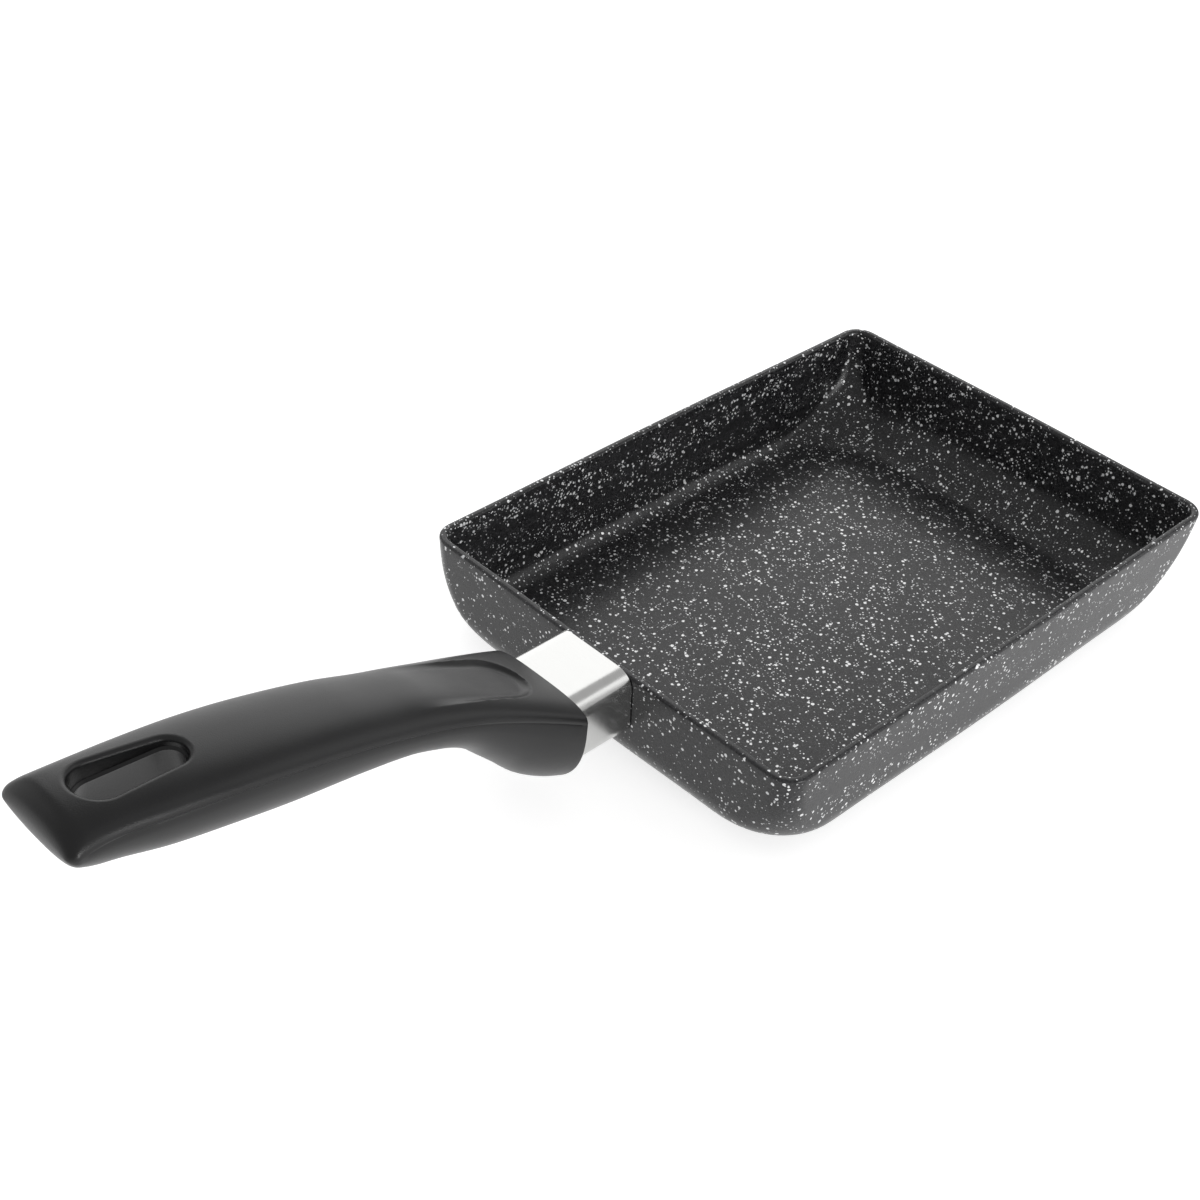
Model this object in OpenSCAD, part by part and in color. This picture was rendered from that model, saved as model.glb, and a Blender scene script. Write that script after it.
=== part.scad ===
// Rectangular omelette pan: a cast body with a coated inside, and a moulded handle
// behind a steel flame guard. The handle sits at the front, towards negative Y.
// The origin is the centre of the base's flat underside, and Z points up.

/* [Pan body] */
// Width of the rim from side to side, without the bow of the sides
pan_w = 134; // [120:1:150]
// Length of the rim from the front wall to the far wall, without the bow
pan_l = 182; // [165:1:200]
// Height of the rim above the base
pan_h = 32; // [29:0.5:38]
// Thickness of the walls
wall_t = 2.3; // [2:0.1:3]
// Thickness of the floor
floor_t = 3; // [2.5:0.1:4]
// How far the middle of each side bows out
side_bow = 0.5; // [0:0.1:1.5]
// Radius along both edges of the rim
rim_edge_r = 0.8; // [0.4:0.1:1]
// Corner radius of the rim, seen from above
rim_corner_r = 7; // [5:0.5:12]
// Corner radius of the base at the front, seen from above
near_corner_r = 30.5; // [20:0.5:36]
// Corner radius of the base at the far wall, seen from above
far_corner_r = 36.5; // [24:0.5:42]
// Slope of the side walls, in degrees
side_draft = 3.2; // [1:0.1:5]
// Slope of the front wall, in degrees
front_draft = 2.4; // [1:0.1:6]
// Slope of the far wall, in degrees
far_draft = 12; // [8:0.5:18]
// Outer radius between the side walls and the base
side_foot_r = 10.4; // [8:0.1:16]
// Outer radius between the front wall and the base
front_foot_r = 11.5; // [8:0.5:16]
// Outer radius between the far wall and the base
far_foot_r = 18; // [14:0.5:22]
// Inner radius between the side walls and the floor
side_cove_r = 6; // [4:0.5:10]
// Inner radius between the front wall and the floor
front_cove_r = 8; // [5:0.5:11]
// Inner radius between the far wall and the floor
far_cove_r = 16; // [10:0.5:19]

/* [Handle bracket] */
// Width of the flange and of the pad under it
flange_w = 22; // [20:0.5:22.5]
// Thickness of the bracket's steel
bracket_t = 3; // [2.5:0.1:3.2]
// Height of the flange from its lower edge to the top of the tongue
flange_h = 11.5; // [11:0.1:12]
// Depth of the top of the tongue below the rim
tongue_depth = 3.5; // [3.2:0.1:4]
// Width of the tongue
tongue_w = 14; // [12:0.5:14.5]
// How far the tongue reaches into the grip
tongue_reach = 17; // [16.5:0.1:18]
// How far the cast pad under the flange stands out from the front wall
pad_rise = 1.2; // [0.8:0.1:1.6]

/* [Flame guard] */
// Width of the guard's tube
guard_w = 27.2; // [26.5:0.1:28]
// Height of the guard's tube
guard_h = 21.2; // [20.4:0.1:21.8]
// Corner radius of the guard's tube
guard_r = 5; // [4.5:0.1:5.5]
// Thickness of the guard's sheet
guard_t = 1; // [0.8:0.1:1.1]
// Height of the guard's top above the rim
guard_lift = 1.4; // [1:0.1:1.8]
// Length of the guard that shows between the front wall and the grip
guard_shown = 18.8; // [16:0.1:22]
// How deep the guard sits in the grip
guard_seat = 4; // [3:0.5:5]

/* [Grip] */
// Length of the grip
grip_l = 139.8; // [130:0.1:150]
// Half the width of the grip at its front
grip_half_w = 17.5; // [17:0.1:18.5]
// Height of the grip above its widest line, at the front
front_crown_h = 4.8; // [4.7:0.1:5.4]
// Height of the grip above its widest line, behind the thumb dish
crown_h = 6; // [5.6:0.1:6.6]
// Depth of the grip below its widest line, at the front
chin_h = 24.6; // [24:0.1:26]
// How much higher the widest line is at the tail than at the front
grip_rise = 42; // [38:0.2:46]
// Depth of the widest line below the rim, at the front
grip_drop = 2.2; // [1.8:0.1:2.4]
// Radius of the front face's edge
front_edge_r = 0.6; // [0.4:0.1:1]
// Radius of the chin's lower front corner, seen from the side
chin_r = 1.5; // [1:0.5:4]
// Corner radius of the tail, seen from above
tail_r = 2.6; // [2:0.1:4]
// Length in which the top rolls over towards the tail
tail_top_run = 5.5; // [4:0.1:7]
// Length in which the underside rolls up towards the tail
tail_under_run = 10; // [6:0.5:12]
// Height of the narrow flat at the tail, above and below the widest line
tail_lip = 0.3; // [0.2:0.05:0.6]
// Length of the thumb dish
dish_l = 42; // [34:1:46]
// Width of the thumb dish
dish_w = 18.6; // [16:0.1:19.5]
// Depth of the thumb dish
dish_depth = 1.5; // [1:0.1:2]
// Distance from the front of the grip to the thumb dish
dish_start = 7.3; // [6.5:0.1:9]
// Length of the hanging slot
slot_l = 30.5; // [26:0.5:34]
// Width of the hanging slot
slot_w = 14.6; // [12:0.2:15]
// Distance from the tail to the hanging slot
slot_end = 5.6; // [5:0.2:10]

/* [Fasteners] */
// Distance between the two rivets
rivet_gap = 13; // [12.5:0.1:13.5]
// Radius of the rivets' shanks
rivet_r = 2.5; // [2.2:0.1:2.6]
// Radius of the rivets' domed heads inside the pan
rivet_head_r = 4.6; // [4.2:0.1:5]
// Height of the domed heads
rivet_head_h = 1.8; // [1.4:0.1:2.2]
// Radius of the rivets' closed ends on the flange
rivet_tail_r = 3.4; // [3.1:0.1:3.5]
// Height of the rivets' closed ends
rivet_tail_h = 1.6; // [1.2:0.1:2]
// Radius of the screw's shank
screw_r = 2.5; // [2.4:0.1:2.6]
// Length of the screw's shank under its head
screw_l = 12; // [11.6:0.1:12.5]
// Radius of the screw's head
screw_head_r = 4.4; // [4.2:0.1:4.6]
// Height of the screw's head
screw_head_h = 3.4; // [3:0.1:3.6]
// Width of each arm of the crossed recess in the screw's head
recess_w = 1.2; // [0.8:0.1:1.6]
// Depth of the crossed recess
recess_h = 1.5; // [1:0.1:1.8]
// Distance from the front of the grip to the screw
screw_set = 10; // [9.5:0.1:11]
// Thickness of the spring washer
washer_t = 1.3; // [1.1:0.1:1.4]
// Width of the gap in the spring washer
washer_gap = 0.8; // [0.5:0.1:1.2]
// Distance across the flats of the weld nut
nut_flats = 8; // [7.8:0.1:8.2]
// Height of the weld nut
nut_h = 4; // [3.8:0.1:4.2]

/* [Fits] */
// Clearance around a piece that is slid into another
slide_fit = 0.3; // [0.2:0.05:0.4]
// Radial clearance around the screw in its bores
screw_fit = 0.25; // [0.2:0.05:0.3]
// Clearance between the guard and the front wall
wall_fit = 0.2; // [0.1:0.05:0.3]

/* [Hidden] */
overrun = 5;                 // how far a cutting shape runs past what it cuts
corner_steps = 7;            // steps around each corner of the pan
side_steps = 6;              // steps along each side of the pan
wall_steps = 11;             // levels down each face of the pan's walls
edge_steps = 3;              // steps around each edge of the rim
crown_steps = 24;            // steps across the top of the grip
belly_steps = 16;            // steps around the underside of the grip
end_steps = 10;              // rings around each end of the grip
grip_steps = 50;             // rings along the grip between its ends
corner_power = 3;            // how late the pan's corners open out towards the base
front_crown_power = 3;       // roundness of the grip's top at the front
crown_power = 2.2;           // roundness of the grip's top behind the thumb dish
crown_share = 0.3;           // share of the grip's length in which its top takes its full shape
chin_power = 2.45;           // roundness of the grip's underside at the front
chin_share = 0.25;           // share of the grip's length in which its underside takes its full shape
belly_power = 2.2;           // roundness of the grip's underside behind the chin
dish_power = 2.5;            // roundness of the thumb dish's outline
round_fn = 64;               // facets of a round hole or shank
corner_fn = 48;              // facets of a guard's corner

// Share of the grip's length, then its half width, rise and depth there as shares of their driving sizes
grip_shares = [
    [0.00, 1.000, 0.000, 1.000],
    [0.05, 0.937, 0.088, 1.021],
    [0.10, 0.873, 0.172, 0.963],
    [0.14, 0.829, 0.236, 0.824],
    [0.18, 0.789, 0.298, 0.691],
    [0.22, 0.758, 0.356, 0.554],
    [0.26, 0.742, 0.411, 0.481],
    [0.30, 0.733, 0.463, 0.460],
    [0.36, 0.733, 0.533, 0.452],
    [0.46, 0.768, 0.649, 0.538],
    [0.60, 0.798, 0.777, 0.637],
    [0.71, 0.803, 0.856, 0.639],
    [0.82, 0.776, 0.918, 0.601],
    [0.93, 0.742, 0.968, 0.465],
    [1.00, 0.785, 0.973, 0.365]
];

// Places that the pieces share
front_y = -pan_l / 2 - side_bow;             // the front wall's outermost point
pad_y = front_y - pad_rise;                  // the pad's face, which the flange lies on
grip_y = front_y - guard_shown;              // the grip's front face
tongue_z = pan_h - tongue_depth;             // the top of the tongue
flange_z = tongue_z - flange_h;              // the lower edge of the flange
guard_z = pan_h + guard_lift - guard_h / 2;  // the middle of the guard
guard_end_y = grip_y - guard_seat;           // the guard's end in the grip
tongue_end_y = grip_y - tongue_reach;        // the tongue's end in the grip
screw_y = grip_y - screw_set;                // the screw's axis
plate_z = tongue_z - bracket_t;              // the underside of the tongue
screw_top_z = tongue_z + nut_h;              // the top of the weld nut
head_z = screw_top_z + slide_fit - screw_l;  // where the screw's head starts
seat_z = head_z + washer_t;                  // the step that the washer presses on
rivet_z = (flange_z + plate_z) / 2;          // the middle of the flange below the tongue
inner_y = front_y + wall_t                   // the front wall's inside at the rivets
    + inset(pan_h - rivet_z, pan_h - floor_t, front_draft, front_cove_r);
flange_y = pad_y - bracket_t;                // the flange's outer face
tail_y = grip_y - grip_l;                    // the end of the grip
tail_run = max(tail_r, tail_top_run, tail_under_run);  // the length in which the tail closes
bend_r = bracket_t / 3;                      // the fillet under the tongue at the flange
pad_r = guard_r - guard_t - slide_fit;       // the corners of the flange and its pad
nut_corner_r = nut_flats / 2 / cos(30);      // the weld nut's corners

// A wall's inset at depth d below the rim: straight at its draft, then an arc down to the flat
function inset(d, h, draft, r) =
    let (
        arc_d = h - r,
        join_d = arc_d + r * sin(draft),
        arc_x = join_d * tan(draft) + r * cos(draft)
    )
    d <= join_d ? d * tan(draft) : arc_x - sqrt(max(0, r * r - pow(d - arc_d, 2)));

// One level of the pan: four rounded corners, joined by sides that bow out at their middles
function level(x, y_front, y_far, r_near, r_far, z) =
    let (
        corners = [
            [x - r_near, y_front + r_near, r_near],
            [x - r_far, y_far - r_far, r_far],
            [r_far - x, y_far - r_far, r_far],
            [r_near - x, y_front + r_near, r_near]
        ]
    )
    [for (k = [0:3])
        let (
            here = corners[k],
            next = corners[(k + 1) % 4],
            start = 90 * (k - 1),
            out = [cos(start + 90), sin(start + 90)],
            p = [here.x, here.y] + here.z * out,
            q = [next.x, next.y] + next.z * out
        )
        each concat(
            [for (i = [0:corner_steps])
                let (a = start + 90 * i / corner_steps)
                [here.x + here.z * cos(a), here.y + here.z * sin(a), z]],
            [for (i = [1:side_steps - 1])
                let (
                    s = i / side_steps,
                    m = p + (q - p) * s + out * side_bow * (1 - cos(360 * s)) / 2
                )
                [m.x, m.y, z]]
        )];

// The corner radius at depth share s, opening from the rim's to the base's
function corner_at(r_base, s) = rim_corner_r + (r_base - rim_corner_r) * pow(s, corner_power);

// One level of the pan's outside, at depth d
function outer_level(d, edge) = level(
    pan_w / 2 - edge - inset(d, pan_h, side_draft, side_foot_r),
    edge - pan_l / 2 + inset(d, pan_h, front_draft, front_foot_r),
    pan_l / 2 - edge - inset(d, pan_h, far_draft, far_foot_r),
    corner_at(near_corner_r, d / pan_h) - edge,
    corner_at(far_corner_r, d / pan_h) - edge,
    pan_h - d);

// One level of the pan's inside, at depth d
function inner_level(d, edge) = level(
    pan_w / 2 - wall_t + edge - inset(d, pan_h - floor_t, side_draft, side_cove_r),
    wall_t - edge - pan_l / 2 + inset(d, pan_h - floor_t, front_draft, front_cove_r),
    pan_l / 2 - wall_t + edge - inset(d, pan_h - floor_t, far_draft, far_cove_r),
    corner_at(near_corner_r, d / pan_h) - wall_t + edge,
    corner_at(far_corner_r, d / pan_h) - wall_t + edge,
    pan_h - d);

// Depths down a wall from below the rim's edge to the flat, close together near the flat
function depths(h) = [for (i = [0:wall_steps]) rim_edge_r + (h - rim_edge_r) * sin(90 * i / wall_steps)];

// Faces that join rings of n points from a lower middle point to an upper one
function skin(rings, n) =
    let (last = 1 + rings * n)
    concat(
        [for (j = [0:n - 1]) [0, 1 + j, 1 + (j + 1) % n]],
        [for (i = [0:rings - 2], j = [0:n - 1])
            let (
                a = 1 + i * n,
                b = a + n,
                k = (j + 1) % n
            )
            each [[a + j, b + j, b + k], [a + j, b + k, a + k]]],
        [for (j = [0:n - 1]) [last, last - n + (j + 1) % n, last - n + j]]
    );

// Value of column c of the grip's table at share t, on a smooth curve through its rows
function slope(c, k) =
    let (
        a = max(k - 1, 0),
        b = min(k + 1, len(grip_shares) - 1)
    )
    (grip_shares[b][c] - grip_shares[a][c]) / (grip_shares[b][0] - grip_shares[a][0]);
function share_at(c, t) =
    let (
        k = max([for (i = [0:len(grip_shares) - 2]) if (i == 0 || t >= grip_shares[i][0]) i]),
        row = grip_shares[k],
        next = grip_shares[k + 1],
        run = next[0] - row[0],
        s = (t - row[0]) / run
    )
    (1 + 2 * s) * pow(1 - s, 2) * row[c] + s * pow(1 - s, 2) * run * slope(c, k)
    + s * s * (3 - 2 * s) * next[c] - s * s * (1 - s) * run * slope(c, k + 1);

// How far a rounded edge of radius r draws a face in, at distance d from the end
function drawn_in(d, r) = d >= r ? 0 : r - sqrt(max(0, r * r - pow(r - d, 2)));

// How far the tail has opened to its full height at distance d from its end, after rolling over a run
function opened(d, run) = d >= run ? 1 : sqrt(max(0, 1 - pow(1 - d / run, 2)));

// How much of its full shape a face has taken at share t of the length, where it is complete at share full
function part_at(t, full) = t >= full ? 1 : (1 - cos(180 * t / full)) / 2;

// Depth of the thumb dish at place x across and distance d from the grip's front
function dish(x, d) =
    let (
        along = (d - dish_start - dish_l / 2) / (dish_l / 2),
        out = pow(abs(2 * x / dish_w), dish_power) + pow(abs(along), dish_power)
    )
    out >= 1 ? 0 : dish_depth * sqrt(1 - out) * (1 - along) / 2;

// One ring of the grip at distance d from its front: the top from right to left, then the underside
function grip_ring(d) =
    let (
        t = d / grip_l,
        to_tail = grip_l - d,
        w = grip_half_w * share_at(1, t) - drawn_in(d, front_edge_r) - drawn_in(to_tail, tail_r),
        top_part = part_at(t, crown_share),
        power = front_crown_power + (crown_power - front_crown_power) * top_part,
        crown = front_crown_h + (crown_h - front_crown_h) * top_part - drawn_in(d, front_edge_r),
        belly = chin_power + (belly_power - chin_power) * part_at(t, chin_share),
        depth = chin_h * share_at(3, t) - drawn_in(d, chin_r),
        up = tail_lip + (crown - tail_lip) * opened(to_tail, tail_top_run),
        down = tail_lip + (depth - tail_lip) * opened(to_tail, tail_under_run),
        z = pan_h - grip_drop + grip_rise * share_at(2, t)
    )
    concat(
        [for (i = [0:crown_steps])
            let (u = sin(90 - 180 * i / crown_steps))
            [w * u, grip_y - d, z + up * pow(max(0, 1 - pow(abs(u), power)), 1 / power) - dish(w * u, d)]],
        [for (i = [1:belly_steps - 1])
            let (u = -sin(90 - 180 * i / belly_steps))
            [w * u, grip_y - d, z - down * pow(1 - pow(abs(u), belly), 1 / belly)]]
    );

// Distances of the grip's rings from its front, close together around both ends
grip_places = concat(
    [for (i = [0:end_steps]) chin_r * (1 - cos(90 * i / end_steps))],
    [for (i = [1:grip_steps - 1]) chin_r + (grip_l - chin_r - tail_run) * i / grip_steps],
    [for (i = [0:end_steps]) grip_l - tail_run * (1 - sin(90 * i / end_steps))]
);

// A rectangle with round corners, centred
module round_rect(w, h, r) {
    square([w - 2 * r, h], center = true);
    square([w, h - 2 * r], center = true);
    for (x = [r - w / 2, w / 2 - r], y = [r - h / 2, h / 2 - r])
        translate([x, y]) circle(r, $fn = corner_fn);
}

// A bar along Y from the front place to the back place, with the given profile in X and Z
module bar_along_y(y_front, y_back) {
    translate([0, y_back, 0]) rotate([90, 0, 0]) linear_extrude(y_back - y_front) children();
}

// A round shape along Y, turned about the place of each rivet
module at_rivets() {
    for (x = [-rivet_gap / 2, rivet_gap / 2])
        translate([x, 0, rivet_z]) rotate([90, 0, 0]) children();
}

// The cast body, with the pad and the holes for the rivets
module pan_body() {
    outer = [for (d = depths(pan_h)) outer_level(d, 0)];
    inner = [for (d = depths(pan_h - floor_t)) inner_level(d, 0)];
    outer_edge = [for (i = [1:edge_steps])
        let (a = 90 * i / edge_steps)
        outer_level(rim_edge_r * (1 - sin(a)), rim_edge_r * (1 - cos(a)))];
    inner_edge = [for (i = [edge_steps:-1:1])
        let (a = 90 * i / edge_steps)
        inner_level(rim_edge_r * (1 - sin(a)), rim_edge_r * (1 - cos(a)))];
    levels = concat([for (i = [wall_steps:-1:0]) outer[i]], outer_edge, inner_edge, inner);
    count = len(levels[0]);
    middle_y = (levels[0][0].y + levels[0][count / 2].y) / 2;
    points = concat(
        [[0, middle_y, 0]],
        [for (ring = levels) each ring],
        [[0, middle_y, floor_t]]
    );
    color([0.17, 0.17, 0.18]) difference() {
        union() {
            polyhedron(points, skin(len(levels), count));
            bar_along_y(pad_y, inner_y - wall_t / 2)
                translate([0, flange_z + flange_h / 2])
                round_rect(flange_w, flange_h, pad_r);
        }
        at_rivets() translate([0, 0, -inner_y - overrun])
            cylinder(h = inner_y - pad_y + 2 * overrun, r = rivet_r, $fn = round_fn);
        at_rivets() translate([0, 0, -inner_y - overrun])
            cylinder(h = overrun, r = rivet_head_r, $fn = round_fn);
    }
}

// The pressed steel bracket: a flange on the pad, and a tongue that carries the grip
module handle_bracket() {
    color([0.62, 0.63, 0.65]) difference() {
        union() {
            bar_along_y(flange_y, pad_y)
                translate([0, flange_z + flange_h / 2]) round_rect(flange_w, flange_h, pad_r);
            translate([-tongue_w / 2, tongue_end_y + tongue_w / 2, plate_z])
                cube([tongue_w, pad_y - tongue_end_y - tongue_w / 2, bracket_t]);
            translate([0, tongue_end_y + tongue_w / 2, plate_z])
                cylinder(h = bracket_t, r = tongue_w / 2, $fn = round_fn);
            difference() {
                translate([-tongue_w / 2, flange_y - bend_r, plate_z - bend_r])
                    cube([tongue_w, 2 * bend_r, 2 * bend_r]);
                translate([0, flange_y - bend_r, plate_z - bend_r])
                    rotate([0, 90, 0])
                    cylinder(h = 2 * tongue_w, r = bend_r, center = true, $fn = corner_fn);
            }
        }
        at_rivets() translate([0, 0, -pad_y - overrun])
            cylinder(h = bracket_t + 2 * overrun, r = rivet_r, $fn = round_fn);
        translate([0, screw_y, 0]) cylinder(h = pan_h, r = screw_r + screw_fit, $fn = round_fn);
    }
}

// Two rivets: a domed head inside the pan, a shank and a closed end on the flange
module bracket_rivets() {
    dome_r = (pow(rivet_head_r, 2) + pow(rivet_head_h, 2)) / (2 * rivet_head_h);
    color([0.75, 0.76, 0.77]) at_rivets() {
        translate([0, 0, -inner_y - rivet_head_h / 2])
            cylinder(h = inner_y - flange_y + rivet_head_h, r = rivet_r, $fn = round_fn);
        translate([0, 0, -inner_y]) rotate([180, 0, 0]) rotate_extrude($fn = round_fn) intersection() {
            translate([0, rivet_head_h - dome_r]) circle(dome_r, $fn = 4 * round_fn);
            square([rivet_head_r, rivet_head_h]);
        }
        translate([0, 0, -flange_y]) cylinder(h = rivet_tail_h, r = rivet_tail_r, $fn = round_fn);
    }
}

// The flame guard: a sheet tube whose end lies along the sloping front wall
module flame_guard() {
    color([0.80, 0.81, 0.82]) difference() {
        bar_along_y(guard_end_y, front_y + overrun) translate([0, guard_z]) difference() {
            round_rect(guard_w, guard_h, guard_r);
            round_rect(guard_w - 2 * guard_t, guard_h - 2 * guard_t, guard_r - guard_t);
        }
        translate([0, front_y - wall_fit, pan_h]) rotate([front_draft, 0, 0])
            translate([-guard_w, 0, -2 * guard_h]) cube([2 * guard_w, 2 * overrun, 4 * guard_h]);
    }
}

// The moulded grip, with the guard's seat, the tongue's pocket, the screw's bore and the hanging slot
module handle_grip() {
    count = crown_steps + belly_steps;
    middles = [for (d = [0, grip_l])
        [0, grip_y - d, pan_h - grip_drop + grip_rise * share_at(2, d / grip_l)]];
    points = concat([middles[0]], [for (d = grip_places) each grip_ring(d)], [middles[1]]);
    pocket_w = tongue_w + 2 * slide_fit;
    channel_w = nut_flats + 2 * slide_fit;
    channel_end_y = screw_y - nut_corner_r - slide_fit;
    color([0.05, 0.05, 0.055]) difference() {
        polyhedron(points, skin(len(grip_places), count));
        bar_along_y(guard_end_y, grip_y + overrun)
            translate([0, guard_z])
            round_rect(guard_w + 2 * slide_fit, guard_h + 2 * slide_fit, guard_r + slide_fit);
        translate([-pocket_w / 2, tongue_end_y - slide_fit, plate_z])
            cube([pocket_w, guard_end_y - tongue_end_y + overrun, bracket_t + slide_fit]);
        translate([-channel_w / 2, channel_end_y, tongue_z])
            cube([channel_w, guard_end_y - channel_end_y + overrun, nut_h + 2 * slide_fit]);
        translate([0, screw_y, 0]) {
            cylinder(h = tongue_z, r = screw_r + screw_fit, $fn = round_fn);
            cylinder(h = seat_z, r = screw_head_r + 2 * slide_fit, $fn = round_fn);
        }
        translate([0, tail_y + slot_end, 0]) linear_extrude(2 * pan_h + grip_rise) {
            translate([-slot_w / 2, slot_w / 2]) square([slot_w, slot_l - slot_w]);
            for (y = [slot_w / 2, slot_l - slot_w / 2])
                translate([0, y]) circle(slot_w / 2, $fn = round_fn);
        }
    }
}

// The screw that goes up through the chin into the weld nut, with a crossed recess in its head
module handle_screw() {
    color([0.70, 0.71, 0.73]) translate([0, screw_y, 0]) difference() {
        union() {
            translate([0, 0, head_z]) cylinder(h = screw_l, r = screw_r, $fn = round_fn);
            translate([0, 0, head_z - screw_head_h])
                cylinder(h = screw_head_h, r = screw_head_r, $fn = round_fn);
        }
        for (a = [0, 90])
            translate([0, 0, head_z - screw_head_h]) rotate([0, 0, a])
                cube([screw_head_r, recess_w, 2 * recess_h], center = true);
    }
}

// The spring washer between the screw's head and the step in the grip
module lock_washer() {
    color([0.55, 0.56, 0.58]) translate([0, screw_y, head_z]) difference() {
        cylinder(h = washer_t, r = screw_head_r - screw_fit, $fn = round_fn);
        translate([0, 0, -washer_t]) cylinder(h = 3 * washer_t, r = screw_r + screw_fit, $fn = round_fn);
        translate([0, -washer_gap / 2, -washer_t]) cube([screw_head_r, washer_gap, 3 * washer_t]);
    }
}

// The weld nut on top of the tongue
module bracket_nut() {
    color([0.60, 0.61, 0.63]) translate([0, screw_y, tongue_z]) difference() {
        rotate([0, 0, 30]) cylinder(h = nut_h, r = nut_corner_r, $fn = 6);
        translate([0, 0, -nut_h]) cylinder(h = 3 * nut_h, r = screw_r, $fn = round_fn);
    }
}

pan_body();
handle_bracket();
bracket_rivets();
flame_guard();
handle_grip();
handle_screw();
lock_washer();
bracket_nut();
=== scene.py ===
# %% [markdown]
# # A rectangular omelette pan, dressed for its photograph
#
# The solids come packed from the construction step, and this file gives them their looks. Each step first
# says what the piece is on the real pan and how else it could be made, and then makes it. The three large
# pieces, the body, the flame guard and the grip, are made again here with many more faces, because their
# curves are seen from close by. The small metal pieces keep their solids and only get a finish.

# %% Load the solids
import math

import bmesh
import bpy
from mathutils import Matrix, Vector


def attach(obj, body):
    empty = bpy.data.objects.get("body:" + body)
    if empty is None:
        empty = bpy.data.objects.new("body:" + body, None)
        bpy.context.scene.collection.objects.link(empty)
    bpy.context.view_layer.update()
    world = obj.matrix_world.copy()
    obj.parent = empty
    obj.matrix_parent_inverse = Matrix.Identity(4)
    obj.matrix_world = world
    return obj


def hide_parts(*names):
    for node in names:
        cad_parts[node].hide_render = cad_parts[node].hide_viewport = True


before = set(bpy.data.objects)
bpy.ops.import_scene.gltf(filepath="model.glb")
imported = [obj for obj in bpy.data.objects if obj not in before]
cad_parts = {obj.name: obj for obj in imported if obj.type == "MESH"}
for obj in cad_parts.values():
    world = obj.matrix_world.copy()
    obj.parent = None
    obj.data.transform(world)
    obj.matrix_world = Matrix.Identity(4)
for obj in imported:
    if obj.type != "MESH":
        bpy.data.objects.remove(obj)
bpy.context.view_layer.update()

print("solids:", ", ".join(sorted(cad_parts)))

# %% [markdown]
# ## Sizes
#
# The part's source drives every size by name. These are the same names and values, in millimetres, so that
# a reader can set the two files side by side. Blender works in metres, so one factor turns a millimetre
# into a metre where a vertex gets its place.

# %% Sizes from the part's source
MM = 0.001
PAN_W, PAN_L, PAN_H = 134.0, 182.0, 32.0
WALL_T, FLOOR_T, SIDE_BOW, RIM_EDGE_R = 2.3, 3.0, 0.5, 0.8
RIM_CORNER_R, NEAR_CORNER_R, FAR_CORNER_R = 7.0, 30.5, 36.5
SIDE_DRAFT, FRONT_DRAFT, FAR_DRAFT = 3.2, 2.4, 12.0
SIDE_FOOT_R, FRONT_FOOT_R, FAR_FOOT_R = 10.4, 11.5, 18.0
SIDE_COVE_R, FRONT_COVE_R, FAR_COVE_R = 6.0, 8.0, 16.0
CORNER_POWER = 3
GUARD_W, GUARD_H, GUARD_R, GUARD_T, GUARD_LIFT = 27.2, 21.2, 5.0, 1.0, 1.4
GUARD_SHOWN, GUARD_SEAT = 18.8, 4.0
FLANGE_W, FLANGE_H, FLANGE_Z, PAD_RISE = 22.0, 11.5, 17.0, 1.2
GRIP_L, GRIP_HALF_W, CHIN_H, GRIP_RISE, GRIP_DROP = 139.8, 17.5, 24.6, 42.0, 2.2
FRONT_CROWN_H, CROWN_H, CROWN_SHARE = 4.8, 6.0, 0.3
FRONT_CROWN_POWER, CROWN_POWER = 3, 2.2
CHIN_POWER, CHIN_SHARE, BELLY_POWER = 2.45, 0.25, 2.2
FRONT_EDGE_R, CHIN_R, TAIL_R, TAIL_TOP_RUN, TAIL_UNDER_RUN, TAIL_LIP = 0.6, 1.5, 2.6, 5.5, 10.0, 0.3
DISH_L, DISH_W, DISH_END_W, DISH_DEPTH, DISH_START, DISH_WALL = 42.0, 18.6, 17.8, 1.5, 7.3, 2.8
SLOT_TAIL_D, SLOT_TAIL_R, SLOT_FRONT_D, SLOT_FRONT_R = 124.45, 6.15, 108.25, 4.65
SLOT_EDGE, SLOT_FLARE, RIDGE, RIDGE_Z = 1.5, 1.6, 0.6, 69.7
SLIDE_FIT, WALL_FIT = 0.3, 0.2
SCREW_SET, SCREW_BORE_R, SEAT_Z = 10.0, 5.0, 22.1
FRONT_Y = -PAN_L / 2 - SIDE_BOW
GRIP_Y = FRONT_Y - GUARD_SHOWN
TAIL_Y = GRIP_Y - GRIP_L
GUARD_Z = PAN_H + GUARD_LIFT - GUARD_H / 2
print(f"rim {PAN_W:.0f} by {PAN_L:.0f} mm, {PAN_H:.0f} mm high; the grip ends at y = {TAIL_Y:.1f} mm")

# %% [markdown]
# ## Node helpers
#
# A procedural finish is a tree of small nodes. Two short helpers keep the code readable: one adds a node
# and fills its inputs, the other joins an output to an input.

# %% Helpers for node trees
def add(tree, kind, inputs=(), **settings):
    """Adds a node; inputs maps a socket's name or number to a value or to another node's output."""
    node = tree.nodes.new(kind)
    for name, value in settings.items():
        setattr(node, name, value)
    for name, value in dict(inputs).items():
        if isinstance(value, bpy.types.NodeSocket):
            tree.links.new(value, node.inputs[name])
        else:
            node.inputs[name].default_value = value
    return node


def maths(tree, operation, a, b=0.0, c=0.0):
    """A Math node's output."""
    return add(tree, "ShaderNodeMath", {0: a, 1: b, 2: c}, operation=operation).outputs[0]


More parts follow.
